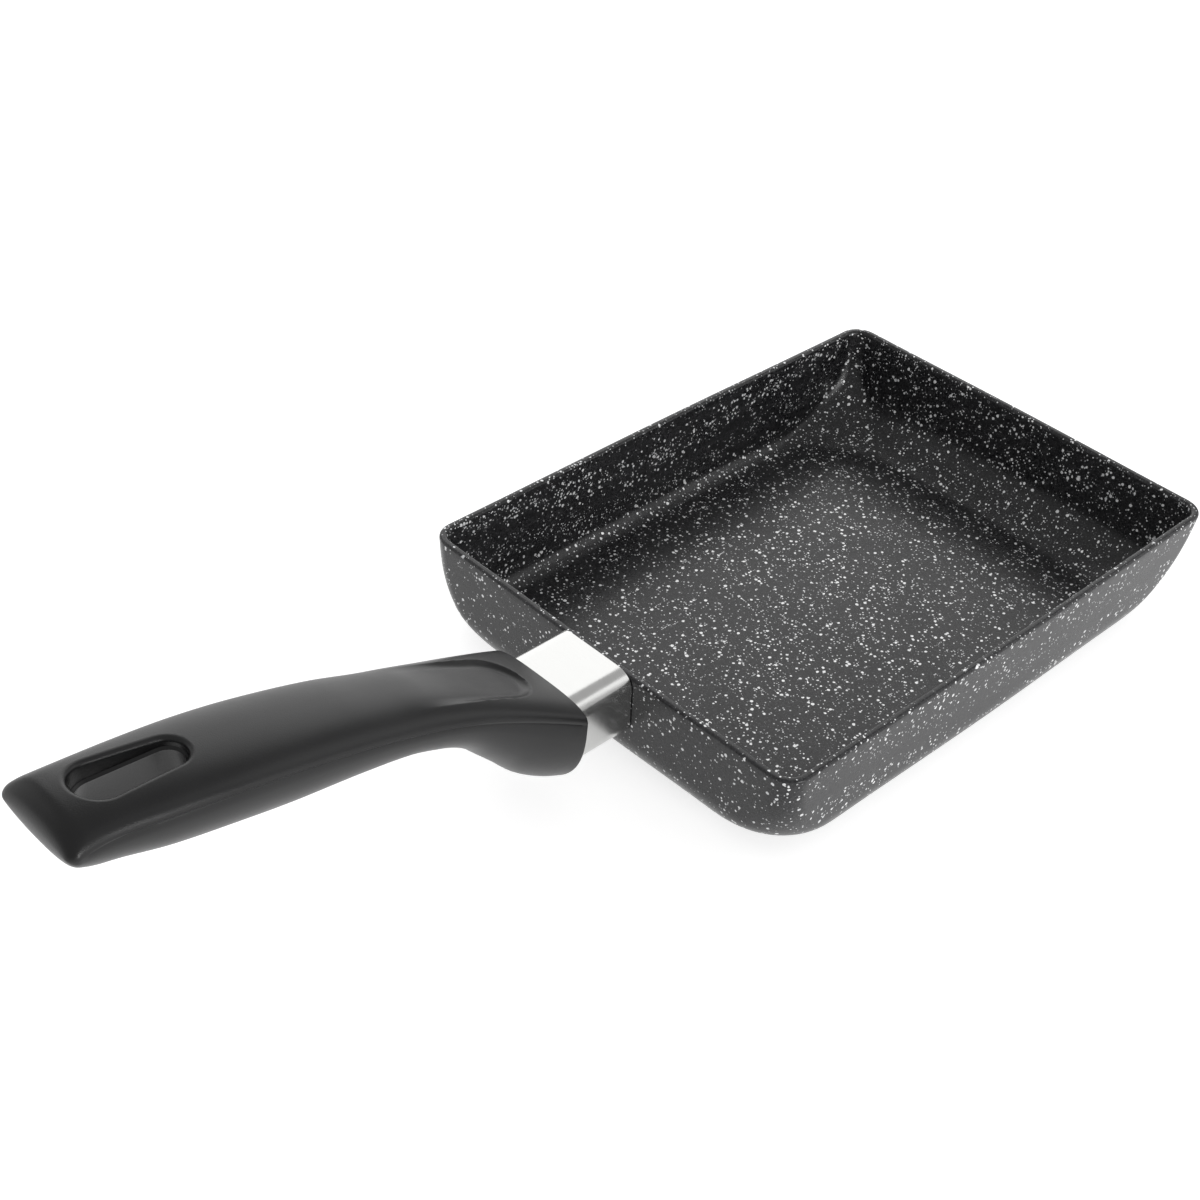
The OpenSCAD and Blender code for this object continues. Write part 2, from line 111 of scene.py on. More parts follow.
def new_group(name, inputs, outputs):
    """A shader node group with sockets given as (name, kind, default)."""
    group = bpy.data.node_groups.new(name, "ShaderNodeTree")
    for title, kind, default in inputs:
        socket = group.interface.new_socket(name=title, in_out="INPUT", socket_type=kind)
        if default is not None:
            socket.default_value = default
    for title, kind in outputs:
        group.interface.new_socket(name=title, in_out="OUTPUT", socket_type=kind)
    return group, group.nodes.new("NodeGroupInput").outputs, group.nodes.new("NodeGroupOutput").inputs


def place_group(tree, group, **inputs):
    """Places a group in a material, with its own values."""
    node = add(tree, "ShaderNodeGroup", node_tree=group)
    for title, value in inputs.items():
        name = title.replace("_", " ")
        if isinstance(value, bpy.types.NodeSocket):
            tree.links.new(value, node.inputs[name])
        else:
            node.inputs[name].default_value = value
    return node.outputs


def new_material(name):
    """An empty material with a Principled shader; returns it, its tree, the shader and Object coordinates."""
    material = bpy.data.materials.new(name)
    material.use_nodes = True
    tree = material.node_tree
    shader = tree.nodes["Principled BSDF"]
    place = tree.nodes.new("ShaderNodeTexCoord").outputs["Object"]
    return material, tree, shader, place

FLOAT, VECTOR, COLOUR = "NodeSocketFloat", "NodeSocketVector", "NodeSocketColor"
print("node helpers ready")

# %% [markdown]
# ## Two shared effects
#
# **Flakes.** The coating is charcoal with pale mineral flakes in it, from dust up to about a millimetre, and
# they lie in loose clusters. A Voronoi texture gives one point in each cell; a flake is what lies near that
# point, a random number for each cell says whether it has one, and a slow noise thins and thickens them.
# An image could hold the same dots, but it would stretch over the corners.
#
# **Fine grain.** Every surface here has a fine unevenness: the coating's orange peel, the matt texture of the
# moulding, the brushing of the steel. One group makes it from noise, and each finish gives its own scales.

# %% The flake group
flakes, fin, fout = new_group(
    "Flakes",
    [("Vector", VECTOR, None), ("Cells", FLOAT, 500.0), ("Size", FLOAT, 0.3), ("Share", FLOAT, 0.4),
     ("Clusters", FLOAT, 90.0), ("Ragged", FLOAT, 0.3)],
    [("Mask", FLOAT), ("Tone", FLOAT)],
)
wobble = add(flakes, "ShaderNodeTexNoise", {"Vector": fin["Vector"], "Scale": fin["Cells"], "Detail": 2.0})
centred = add(flakes, "ShaderNodeVectorMath", {0: wobble.outputs["Color"], 1: (0.5, 0.5, 0.5)},
              operation="SUBTRACT")
spread = maths(flakes, "DIVIDE", fin["Ragged"], fin["Cells"])
shift = add(flakes, "ShaderNodeVectorMath", {0: centred.outputs[0], "Scale": spread}, operation="SCALE")
moved = add(flakes, "ShaderNodeVectorMath", {0: fin["Vector"], 1: shift.outputs[0]}, operation="ADD")
cells = add(flakes, "ShaderNodeTexVoronoi", {"Vector": moved.outputs[0], "Scale": fin["Cells"]})
chance = add(flakes, "ShaderNodeSeparateColor", {0: cells.outputs["Color"]})
slow = add(flakes, "ShaderNodeTexNoise", {"Vector": fin["Vector"], "Scale": fin["Clusters"], "Detail": 2.0})
crowd = add(flakes, "ShaderNodeMapRange",
            {"Value": slow.outputs[0], "From Min": 0.35, "From Max": 0.65, "To Min": 0.55, "To Max": 1.45})
wanted = maths(flakes, "MULTIPLY", fin["Share"], crowd.outputs[0])
present = maths(flakes, "LESS_THAN", chance.outputs[0], wanted)
reach = maths(flakes, "MULTIPLY", fin["Size"], maths(flakes, "MULTIPLY_ADD", chance.outputs[1], 0.8, 0.5))
inner = maths(flakes, "MULTIPLY", reach, 0.86)
dot = add(flakes, "ShaderNodeMapRange",
          {"Value": cells.outputs["Distance"], "From Min": reach, "From Max": inner,
           "To Min": 0.0, "To Max": 1.0})
flakes.links.new(maths(flakes, "MULTIPLY", dot.outputs[0], present), fout["Mask"])
flakes.links.new(chance.outputs[2], fout["Tone"])
print("flake group:", len(flakes.nodes), "nodes")

# %% The fine grain group
grain, gin, gout = new_group(
    "Fine grain",
    [("Vector", VECTOR, None), ("Fine scale", FLOAT, 2000.0), ("Slow scale", FLOAT, 60.0),
     ("Low", FLOAT, 0.35), ("High", FLOAT, 0.5)],
    [("Height", FLOAT), ("Roughness", FLOAT), ("Cloud", FLOAT)],
)
fine = add(grain, "ShaderNodeTexNoise", {"Vector": gin["Vector"], "Scale": gin["Fine scale"], "Detail": 3.0})
cloud = add(grain, "ShaderNodeTexNoise", {"Vector": gin["Vector"], "Scale": gin["Slow scale"], "Detail": 4.0})
mixed = maths(grain, "MULTIPLY_ADD", fine.outputs[0], 0.35, maths(grain, "MULTIPLY", cloud.outputs[0], 0.65))
rough = add(grain, "ShaderNodeMapRange",
            {"Value": mixed, "From Min": 0.3, "From Max": 0.7, "To Min": gin["Low"], "To Max": gin["High"]})
grain.links.new(fine.outputs[0], gout["Height"])
grain.links.new(rough.outputs[0], gout["Roughness"])
grain.links.new(cloud.outputs[0], gout["Cloud"])
print("grain group:", len(grain.nodes), "nodes")

# %% [markdown]
# ## The speckled coating
#
# Three flake layers of different sizes lie over a charcoal ground. The inside of the pan carries more of
# them than the outside, so the body's mesh has an attribute, 1 inside and 0 outside, and the material reads
# it to set the share of cells that hold a flake. It also reads it to give the ground two tones: a darker one
# inside, which is painted shade in the pan's hollow, and a lighter one outside, which is painted light on the
# outer walls. The ground is a satin non-stick coat, and the height of its orange peel also mottles its
# colour.
# The two larger layers are metallic by a small share, so that they mirror more of the light than the ground
# does. A low IOR keeps the sheen weak, which leaves the ground dark.

# %% The coating's material
coating, tree, shader, place = new_material("Speckled coating")
inside = add(tree, "ShaderNodeAttribute", attribute_name="inside").outputs["Fac"]


def share_of(outside_share, inside_share):
    """A share of cells that goes from the outside's to the inside's."""
    return maths(tree, "MULTIPLY_ADD", inside, inside_share - outside_share, outside_share)


large = place_group(tree, flakes, Vector=place, Cells=850.0, Size=0.37, Share=share_of(0.15, 0.22),
                    Clusters=110.0, Ragged=0.5)
small = place_group(tree, flakes, Vector=place, Cells=1500.0, Size=0.36, Share=share_of(0.16, 0.26),
                    Clusters=160.0, Ragged=0.4)
dust = place_group(tree, flakes, Vector=place, Cells=2600.0, Size=0.40, Share=share_of(0.30, 0.45),
                   Clusters=200.0, Ragged=0.2)
peel = place_group(tree, grain, Vector=place, Fine_scale=1500.0, Slow_scale=45.0, Low=0.24, High=0.33)
mottle = add(tree, "ShaderNodeMapRange",
             {"Value": peel["Height"], "From Min": 0.38, "From Max": 0.62, "To Min": 0.0, "To Max": 1.0})
# the ground's two tones: a darker one that paints shade inside the pan, a lighter one that paints light on
# its outside
painted_shade_inside_ground = add(tree, "ShaderNodeMix",
           {0: mottle.outputs[0], 6: (0.003, 0.003, 0.004, 1), 7: (0.018, 0.018, 0.019, 1)}, data_type="RGBA")
painted_light_outside_ground = add(tree, "ShaderNodeMix",
              {0: mottle.outputs[0], 6: (0.010, 0.010, 0.011, 1), 7: (0.031, 0.031, 0.033, 1)},
              data_type="RGBA")
# the inside attribute picks the painted-shade tone inside and the painted-light tone outside
ground = add(tree, "ShaderNodeMix", {0: inside, 6: painted_light_outside_ground.outputs[2], 7: painted_shade_inside_ground.outputs[2]}, data_type="RGBA")
with_dust = add(tree, "ShaderNodeMix", {0: dust["Mask"], 6: ground.outputs[2], 7: (0.06, 0.06, 0.063, 1)},
                data_type="RGBA")
pale = add(tree, "ShaderNodeMix", {0: small["Tone"], 6: (0.22, 0.22, 0.225, 1), 7: (0.95, 0.96, 0.97, 1)},
           data_type="RGBA")
with_small = add(tree, "ShaderNodeMix", {0: small["Mask"], 6: with_dust.outputs[2], 7: pale.outputs[2]},
                 data_type="RGBA")
white = add(tree, "ShaderNodeMix", {0: large["Tone"], 6: (0.70, 0.71, 0.72, 1), 7: (0.98, 0.98, 0.98, 1)},
            data_type="RGBA")
with_large = add(tree, "ShaderNodeMix", {0: large["Mask"], 6: with_small.outputs[2], 7: white.outputs[2]},
                 data_type="RGBA")
bump = add(tree, "ShaderNodeBump", {"Height": peel["Height"], "Strength": 0.12, "Distance": 0.0002})
LARGE_GLINT, SMALL_GLINT = 0.3, 0.2
glints = maths(tree, "MAXIMUM", maths(tree, "MULTIPLY", large["Mask"], LARGE_GLINT),
               maths(tree, "MULTIPLY", small["Mask"], SMALL_GLINT))
tree.links.new(with_large.outputs[2], shader.inputs["Base Color"])
tree.links.new(glints, shader.inputs["Metallic"])
tree.links.new(peel["Roughness"], shader.inputs["Roughness"])
tree.links.new(bump.outputs[0], shader.inputs["Normal"])
shader.inputs["IOR"].default_value = 1.42
print("coating:", len(tree.nodes), "nodes")

# %% [markdown]
# ## The steels and the black moulding
#
# The guard is stainless steel with a fine brushed finish that runs round the tube. Stretching the noise's
# coordinates makes long streaks out of round spots. The bracket, nut, washer, screw and rivets share the
# same recipe with rougher values. The moulding is a heat-resistant thermoset: nearly black, with a fine
# matt texture from its mould, so it has a soft sheen and no sharp reflections.

# %% The steel materials
def steel(name, colour, low, high, stretch, bump_strength):
    """A brushed or plain steel; stretch is the streaks' coordinate factor along X, Y and Z."""
    material, tree, shader, place = new_material(name)
    along = add(tree, "ShaderNodeMapping", {"Vector": place, "Scale": stretch}).outputs[0]
    streaks = place_group(tree, grain, Vector=along, Fine_scale=2600.0, Slow_scale=240.0, Low=low, High=high)
    tint = add(tree, "ShaderNodeMix",
               {0: streaks["Cloud"], 6: (*[c * 0.9 for c in colour], 1), 7: (*colour, 1)}, data_type="RGBA")
    bump = add(tree, "ShaderNodeBump",
               {"Height": streaks["Height"], "Strength": bump_strength, "Distance": 0.0001})
    tree.links.new(tint.outputs[2], shader.inputs["Base Color"])
    tree.links.new(streaks["Roughness"], shader.inputs["Roughness"])
    tree.links.new(bump.outputs[0], shader.inputs["Normal"])
    shader.inputs["Metallic"].default_value = 1.0
    return material


guard_steel = steel("Bright stainless steel", (0.62, 0.62, 0.61), 0.16, 0.26, (0.06, 1.0, 0.06), 0.03)
plain_steel = steel("Pressed steel", (0.56, 0.57, 0.58), 0.32, 0.46, (0.3, 1.0, 1.0), 0.08)
zinc_steel = steel("Zinc plated steel", (0.66, 0.67, 0.70), 0.22, 0.34, (1.0, 1.0, 0.3), 0.05)
spring_steel = steel("Spring steel", (0.38, 0.38, 0.40), 0.30, 0.42, (1.0, 1.0, 0.4), 0.05)
rivet_metal = steel("Turned aluminium", (0.80, 0.80, 0.81), 0.24, 0.36, (1.0, 0.3, 1.0), 0.05)
print("steels:", [m.name for m in (guard_steel, plain_steel, zinc_steel, spring_steel, rivet_metal)])

# %% The moulding's material
moulding, tree, shader, place = new_material("Black moulding")
matt = place_group(tree, grain, Vector=place, Fine_scale=3200.0, Slow_scale=70.0, Low=0.30, High=0.38)
black = add(tree, "ShaderNodeMix",
            {0: matt["Cloud"], 6: (0.004, 0.004, 0.0044, 1), 7: (0.010, 0.010, 0.0104, 1)}, data_type="RGBA")
bump = add(tree, "ShaderNodeBump", {"Height": matt["Height"], "Strength": 0.18, "Distance": 0.0002})
tree.links.new(black.outputs[2], shader.inputs["Base Color"])
shader.inputs["IOR"].default_value = 1.39
tree.links.new(matt["Roughness"], shader.inputs["Roughness"])
tree.links.new(bump.outputs[0], shader.inputs["Normal"])
print("moulding:", len(tree.nodes), "nodes")

# %% [markdown]
# ## A loft made by extruding
#
# The body, the guard and the grip are all closed outlines that change from one level to the next. The loft
# starts from a circle, puts its vertices on the first outline, and then extrudes that loop of edges again and
# again, each time to the next outline. A skin modifier or a surface patch would give less control over where
# the outlines lie.

# %% The loft helper
def loft(mesh, outlines):
    """Extrudes a loop through outlines, each a list of points in millimetres; returns the loops' vertices."""
    count = len(outlines[0])
    made = bmesh.ops.create_circle(mesh, segments=count, radius=1.0)
    loops = [list(made["verts"])]
    for k, outline in enumerate(outlines):
        if k:
            last = loops[-1]
            joins = [mesh.edges.get((last[j], last[j - 1])) for j in range(count)]
            grown = bmesh.ops.extrude_edge_only(mesh, edges=joins)["geom"]
            fresh = {v for v in grown if isinstance(v, bmesh.types.BMVert)}
            loops.append([next(e.other_vert(v) for e in v.link_edges if e.other_vert(v) in fresh)
                          for v in last])
        for vertex, point in zip(loops[-1], outline):
            vertex.co = Vector(point) * MM
    return loops


def close_end(mesh, loop, border):
    """Fills a flat end, with a narrow border of faces that keeps the flat's shading flat."""
    edges = [mesh.edges.get((loop[j], loop[j - 1])) for j in range(len(loop))]
    face = bmesh.ops.contextual_create(mesh, geom=edges)["faces"]
    if border:
        bmesh.ops.inset_region(mesh, faces=face, thickness=border * MM, use_even_offset=True)


def finish_piece(name, mesh, material, replaced, sharp=40.0):
    """Turns the mesh's faces outwards, makes an object of it that rides on the part, and shades it smooth."""
    bmesh.ops.recalc_face_normals(mesh, faces=mesh.faces)
    data = bpy.data.meshes.new(name)
    mesh.to_mesh(data)
    mesh.free()
    data.polygons.foreach_set("use_smooth", [True] * len(data.polygons))
    data.set_sharp_from_angle(angle=math.radians(sharp))
    piece = bpy.data.objects.new(name, data)
    bpy.context.scene.collection.objects.link(piece)
    data.materials.append(material)
    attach(piece, "root")
    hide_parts(replaced)
    print(f"{name}: {len(data.polygons)} faces")
    return piece

# %% [markdown]
# ## The body
#
# The real body is one casting. Its walls lean out a little, the far one more than the others, so that an
# omelette slides out over it, and its corners are tight at the rim and open out into large soft corners at
# the base. Each level of the loft is four corner arcs joined by sides; depth below the rim gives the inset of
# each wall and the corners' radius. The loft runs up the outside, over the rim and down the inside.

# %% How the walls lean
def inset(depth, height, draft, radius):
    """How far a wall has moved in at a depth: straight at its draft, then an arc down to the flat."""
    slope = math.radians(draft)
    arc_depth = height - radius
    join = arc_depth + radius * math.sin(slope)
    if depth <= join:
        return depth * math.tan(slope)
    reach = math.sqrt(max(0.0, radius**2 - (depth - arc_depth) ** 2))
    return join * math.tan(slope) + radius * math.cos(slope) - reach


def corner_at(base_radius, share):
    """The corner radius at a share of the depth, opening from the rim's to the base's."""
    return RIM_CORNER_R + (base_radius - RIM_CORNER_R) * share**CORNER_POWER


def level(x, front, far, near_r, far_r, z, corner_steps=16, side_steps=14):
    """One level's outline: four corners, counted from the front right, and the sides between them."""
    corners = [(x - near_r, front + near_r, near_r), (x - far_r, far - far_r, far_r),
               (far_r - x, far - far_r, far_r), (near_r - x, front + near_r, near_r)]
    points = []
    for k, (cx, cy, r) in enumerate(corners):
        nx, ny, nr = corners[(k + 1) % 4]
        start = math.radians(90 * (k - 1))
        out = Vector((math.cos(start + math.pi / 2), math.sin(start + math.pi / 2)))
        for i in range(corner_steps + 1):
            a = start + math.pi / 2 * i / corner_steps
            points.append((cx + r * math.cos(a), cy + r * math.sin(a), z))
        a, b = Vector((cx, cy)) + out * r, Vector((nx, ny)) + out * nr
        for i in range(1, side_steps):
            s = i / side_steps
            p = a.lerp(b, s) + out * SIDE_BOW * (1 - math.cos(2 * math.pi * s)) / 2
            points.append((p.x, p.y, z))
    return points


def outer_level(depth, edge=0.0):
    """The outside at a depth, drawn in by edge where the rim rounds over."""
    return level(PAN_W / 2 - edge - inset(depth, PAN_H, SIDE_DRAFT, SIDE_FOOT_R),
                 edge - PAN_L / 2 + inset(depth, PAN_H, FRONT_DRAFT, FRONT_FOOT_R),
                 PAN_L / 2 - edge - inset(depth, PAN_H, FAR_DRAFT, FAR_FOOT_R),
                 corner_at(NEAR_CORNER_R, depth / PAN_H) - edge,
                 corner_at(FAR_CORNER_R, depth / PAN_H) - edge, PAN_H - depth)


def inner_level(depth, edge=0.0):
    """The inside at a depth."""
    height = PAN_H - FLOOR_T
    return level(PAN_W / 2 - WALL_T + edge - inset(depth, height, SIDE_DRAFT, SIDE_COVE_R),
                 WALL_T - edge - PAN_L / 2 + inset(depth, height, FRONT_DRAFT, FRONT_COVE_R),
                 PAN_L / 2 - WALL_T + edge - inset(depth, height, FAR_DRAFT, FAR_COVE_R),
                 corner_at(NEAR_CORNER_R, depth / PAN_H) - WALL_T + edge,
                 corner_at(FAR_CORNER_R, depth / PAN_H) - WALL_T + edge, PAN_H - depth)


def wall_depths(height, steps=30):
    """Depths from below the rim's edge to the flat, close together near the flat."""
    return [RIM_EDGE_R + (height - RIM_EDGE_R) * math.sin(math.pi / 2 * i / steps) for i in range(steps + 1)]


rim_turns = [math.pi / 2 * i / 5 for i in range(1, 6)]
rim_steps = [(RIM_EDGE_R * (1 - math.sin(a)), RIM_EDGE_R * (1 - math.cos(a))) for a in rim_turns]
up_outside = [outer_level(d) for d in reversed(wall_depths(PAN_H))]
over_outside = [outer_level(depth, edge) for depth, edge in rim_steps]
over_inside = [inner_level(depth, edge) for depth, edge in reversed(rim_steps)]
down_inside = [inner_level(d) for d in wall_depths(PAN_H - FLOOR_T)]
outlines = up_outside + over_outside + over_inside + down_inside
print("body levels:", len(outlines), "of", len(outlines[0]), "points")

# %% Make the body
mesh = bmesh.new()
inside_layer = mesh.verts.layers.float.new("inside")
loops = loft(mesh, outlines)
close_end(mesh, loops[0], 0.6)
close_end(mesh, loops[-1], 0.6)
turn = len(up_outside) + len(over_outside)
for number, loop in enumerate(loops):
    for vertex in loop:
        vertex[inside_layer] = 1.0 if number >= turn else 0.0
for vertex in mesh.verts:
    if abs(vertex.co.z - FLOOR_T * MM) < 1e-6:
        vertex[inside_layer] = 1.0
pad = bmesh.ops.create_cube(mesh, size=1.0)["verts"]
bmesh.ops.scale(mesh, vec=Vector((FLANGE_W, PAD_RISE + WALL_T, FLANGE_H)) * MM, verts=pad)
pad_middle = (0, FRONT_Y - PAD_RISE + (PAD_RISE + WALL_T) / 2, FLANGE_Z + FLANGE_H / 2)
bmesh.ops.translate(mesh, verts=pad, vec=Vector(pad_middle) * MM)
finish_piece("coated_body", mesh, coating, "pan_body", sharp=50.0)

# %% [markdown]
# ## The flame guard
#
# A short tube of thin stainless sheet keeps the flame off the grip. Its outline is a rectangle with round
# corners. The loft gives the outside; solidify gives the sheet its thickness inwards. Its end follows the
# leaning front wall. Extra points beside the corners keep the flats flat in reflections.

# %% The guard's outline
def round_rectangle(width, height, radius, steps=14, margin=0.35):
    """Points round a rectangle with round corners, in X and Z about the middle."""
    points = []
    for k, (sx, sz) in enumerate(((1, 1), (-1, 1), (-1, -1), (1, -1))):
        cx, cz = sx * (width / 2 - radius), sz * (height / 2 - radius)
        arc = [math.pi / 2 * (k + i / steps) for i in range(steps + 1)]
        for i, a in enumerate(arc):
            x, z = cx + radius * math.cos(a), cz + radius * math.sin(a)
            along = Vector((-math.sin(a), math.cos(a))) * margin
            if i == 0:
                points.append((x - along.x, z - along.y))
            points.append((x, z))
            if i == steps:
                points.append((x + along.x, z + along.y))
    return points


def guard_front(z):
    """Where the guard ends at a height, just clear of the leaning front wall."""
    return FRONT_Y - WALL_FIT + (PAN_H - z) * math.tan(math.radians(FRONT_DRAFT))


ring = [(x, z + GUARD_Z) for x, z in round_rectangle(GUARD_W, GUARD_H, GUARD_R)]
guard_end = GRIP_Y - GUARD_SEAT
shares = [0.0, 0.02, 0.25, 0.5, 0.75, 0.98, 1.0]
mesh = bmesh.new()
loft(mesh, [[(x, guard_end + (guard_front(z) - guard_end) * s, z) for x, z in ring] for s in shares])
bmesh.ops.recalc_face_normals(mesh, faces=mesh.faces)
bmesh.ops.solidify(mesh, geom=mesh.faces[:], thickness=GUARD_T * MM)
finish_piece("flame_guard_tube", mesh, guard_steel, "flame_guard")

# %% [markdown]
# ## The grip
#
# The grip is one moulding: a deep chin at the guard, a waist for the fingers, a fuller palm and a flat tail.
# Its widest line climbs along the handle, and each section has a low crown above that line and a deeper
# belly under it. A table gives width, climb and depth at shares of the length, and a smooth curve runs
# through its rows. The thumb dish is pressed into the crown: it has a round front end, nearly straight sides
# and a floor that runs out towards the tail. Crown and belly meet in a ledge a quarter of a millimetre wide,
# which catches the light as a thin line. It fades out at both ends of the grip.

# %% The grip's sections
GRIP_TABLE = [
    (0.00, 1.000, 0.000, 1.000), (0.05, 0.937, 0.088, 1.021), (0.10, 0.873, 0.172, 0.963),
    (0.14, 0.829, 0.236, 0.824), (0.18, 0.789, 0.298, 0.691), (0.22, 0.758, 0.356, 0.554),
    (0.26, 0.742, 0.411, 0.481), (0.30, 0.733, 0.463, 0.460), (0.36, 0.733, 0.533, 0.452),
    (0.46, 0.768, 0.649, 0.538), (0.60, 0.798, 0.777, 0.637), (0.71, 0.803, 0.856, 0.639),
    (0.82, 0.776, 0.918, 0.601), (0.93, 0.742, 0.968, 0.465), (1.00, 0.785, 0.973, 0.365),
]


def share_at(column, t):
    """The table's column at share t, on a smooth curve through its rows."""
    k = max([i for i in range(len(GRIP_TABLE) - 1) if i == 0 or t >= GRIP_TABLE[i][0]])

    def slope(i):
        a, b = GRIP_TABLE[max(i - 1, 0)], GRIP_TABLE[min(i + 1, len(GRIP_TABLE) - 1)]
        return (b[column] - a[column]) / (b[0] - a[0])

    row, after = GRIP_TABLE[k], GRIP_TABLE[k + 1]
    run = after[0] - row[0]
    s = (t - row[0]) / run
    return ((1 + 2 * s) * (1 - s) ** 2 * row[column] + s * (1 - s) ** 2 * run * slope(k)
            + s * s * (3 - 2 * s) * after[column] - s * s * (1 - s) * run * slope(k + 1))


def drawn_in(distance, radius):
    """How far a rounded edge draws a face in at a distance from the end."""
    return 0.0 if distance >= radius else radius - math.sqrt(max(0.0, radius**2 - (radius - distance) ** 2))


def opened(distance, run):
    """How far the tail has opened to its full height at a distance from its end."""
    return 1.0 if distance >= run else math.sqrt(max(0.0, 1 - (1 - distance / run) ** 2))


def part_at(t, full):
    """How much of its full shape a face has taken at share t, where it is complete at share full."""
    return 1.0 if t >= full else (1 - math.cos(math.pi * t / full)) / 2


DISH_FULL = 0.3   # the share of the dish's length at its full depth


def dish(x, distance):
    """Depth of the thumb dish: a round front end, two nearly straight sides, and a floor that runs out."""
    along = (distance - DISH_START) / DISH_L
    if not 0 < along < 1:
        return 0.0
    half = (DISH_W + (DISH_END_W - DISH_W) * along) / 2
    round_at = DISH_START + half
    if distance < round_at:
        to_rim = half - math.hypot(x, round_at - distance)
    else:
        to_rim = half - abs(x)
    if to_rim <= 0:
        return 0.0
    wall = 1 - (1 - min(1.0, to_rim / DISH_WALL)) ** 2
    return DISH_DEPTH * wall * (1 - part_at(max(0.0, along - DISH_FULL), 1 - DISH_FULL))


def section(distance):
    """Half width, height of the widest line, crown and belly depth at a distance from the grip's front."""
    t, to_tail = distance / GRIP_L, GRIP_L - distance
    crown = (FRONT_CROWN_H + (CROWN_H - FRONT_CROWN_H) * part_at(t, CROWN_SHARE)
             - drawn_in(distance, FRONT_EDGE_R))
    belly = CHIN_H * share_at(3, t) - drawn_in(distance, CHIN_R)
    return (GRIP_HALF_W * share_at(1, t) - drawn_in(distance, FRONT_EDGE_R) - drawn_in(to_tail, TAIL_R),
            PAN_H - GRIP_DROP + GRIP_RISE * share_at(2, t),
            TAIL_LIP + (crown - TAIL_LIP) * opened(to_tail, TAIL_TOP_RUN),
            TAIL_LIP + (belly - TAIL_LIP) * opened(to_tail, TAIL_UNDER_RUN))


def top_at(x, distance):
    """Height of the grip's top."""
    half, line, crown, belly = section(distance)
    u = min(1.0, abs(x) / half)
    power = FRONT_CROWN_POWER + (CROWN_POWER - FRONT_CROWN_POWER) * part_at(distance / GRIP_L, CROWN_SHARE)
    return line + crown * (1 - u**power) ** (1 / power) - dish(x, distance)


def bottom_at(x, distance):
    """Height of the grip's underside."""
    half, line, crown, belly = section(distance)
    u = min(1.0, abs(x) / half)
    power = CHIN_POWER + (BELLY_POWER - CHIN_POWER) * part_at(distance / GRIP_L, CHIN_SHARE)
    return line - belly * (1 - u**power) ** (1 / power)


LEDGE_W, LEDGE_UP, LEDGE_DOWN, LEDGE_LEAST = 0.24, 0.10, 0.6, 0.02
LEDGE_FRONT_FADE, LEDGE_TAIL_GAP, LEDGE_TAIL_FADE = 2.0, 4.0, 9.0


def grip_outline(distance, top_steps=116, under_steps=44):
    """One section of the grip: over the top from right to left, then back along the underside."""
    half, line, crown, belly = section(distance)
    over = [half * math.cos(math.pi * i / top_steps) for i in range(2, top_steps - 1)]
    under = [-half * math.cos(math.pi * i / under_steps) for i in range(2, under_steps - 1)]
    y = GRIP_Y - distance
    to_gap = GRIP_L - distance - LEDGE_TAIL_GAP
    fade = min(1.0, distance / LEDGE_FRONT_FADE, max(0.0, to_gap) / LEDGE_TAIL_FADE)
    cut, up = LEDGE_W * fade, min(LEDGE_UP, crown / 8)
    down = min(LEDGE_DOWN * fade + LEDGE_LEAST, belly / 8)
    points = [(half - cut, y, line), (half - cut * 0.9, y, line + up)]
    points += [(x, y, top_at(x, distance)) for x in over]
    points += [(cut * 0.9 - half, y, line + up), (cut - half, y, line), (-half, y, line - down)]
    points += [(x, y, bottom_at(x, distance)) for x in under]
    return points + [(half, y, line - down)]


TAIL_RUN = max(TAIL_R, TAIL_TOP_RUN, TAIL_UNDER_RUN)
CLOSE_RINGS_END = 52.0   # past the dish, where the rings may lie further apart
places = [CHIN_R * (1 - math.cos(math.pi / 2 * i / 8)) for i in range(9)]
places += [CHIN_R + (CLOSE_RINGS_END - CHIN_R) * i / 120 for i in range(1, 120)]
places += [CLOSE_RINGS_END + (GRIP_L - CLOSE_RINGS_END - TAIL_RUN) * i / 90 for i in range(90)]
places += [GRIP_L - TAIL_RUN * (1 - math.sin(math.pi / 2 * i / 26)) for i in range(27)]
print("grip sections:", len(places))

# %% [markdown]
# ## What is cut out of the grip
#
# Three shapes are cut with the Boolean modifier: the hanging slot, the seat of the guard and the bore of the
# screw. The slot's cutter isn't a plain stadium. The real slot has a soft upper edge, and partway down runs
# a fine ridge, perhaps where two halves of the mould met. So the cutter is rounded at both faces, narrows at
# the ridge and spreads below it. The lower edge isn't seen from above, so its shape is a guess.

# %% The slot's cutter
def slot_outline(steps=24, side_steps=14):
    """Points round the slot, as (x, distance from the grip's front, outward x, outward distance)."""
    lean = math.asin((SLOT_TAIL_R - SLOT_FRONT_R) / (SLOT_TAIL_D - SLOT_FRONT_D))
    arcs = []
    for middle, r, first, last in ((SLOT_TAIL_D, SLOT_TAIL_R, -lean, math.pi + lean),
                                   (SLOT_FRONT_D, SLOT_FRONT_R, math.pi + lean, 2 * math.pi - lean)):
        turns = [first + (last - first) * i / steps for i in range(steps + 1)]
        arcs.append([(r * math.cos(a), middle + r * math.sin(a), math.cos(a), math.sin(a)) for a in turns])
    points = []
    for arc, after in ((arcs[0], arcs[1]), (arcs[1], arcs[0])):
        points += arc
        p, q = Vector(arc[-1]), Vector(after[0])
        points += [tuple(p.lerp(q, i / side_steps)) for i in range(1, side_steps)]
    return points


slot_points = slot_outline()
BEYOND = 3.0
flare = [(-BEYOND, SLOT_EDGE + 0.3), (-0.02, SLOT_EDGE)]
flare += [(SLOT_EDGE * (1 - math.cos(a)), SLOT_EDGE * (1 - math.sin(a)))
          for a in [math.pi / 2 * i / 10 for i in range(1, 11)]]


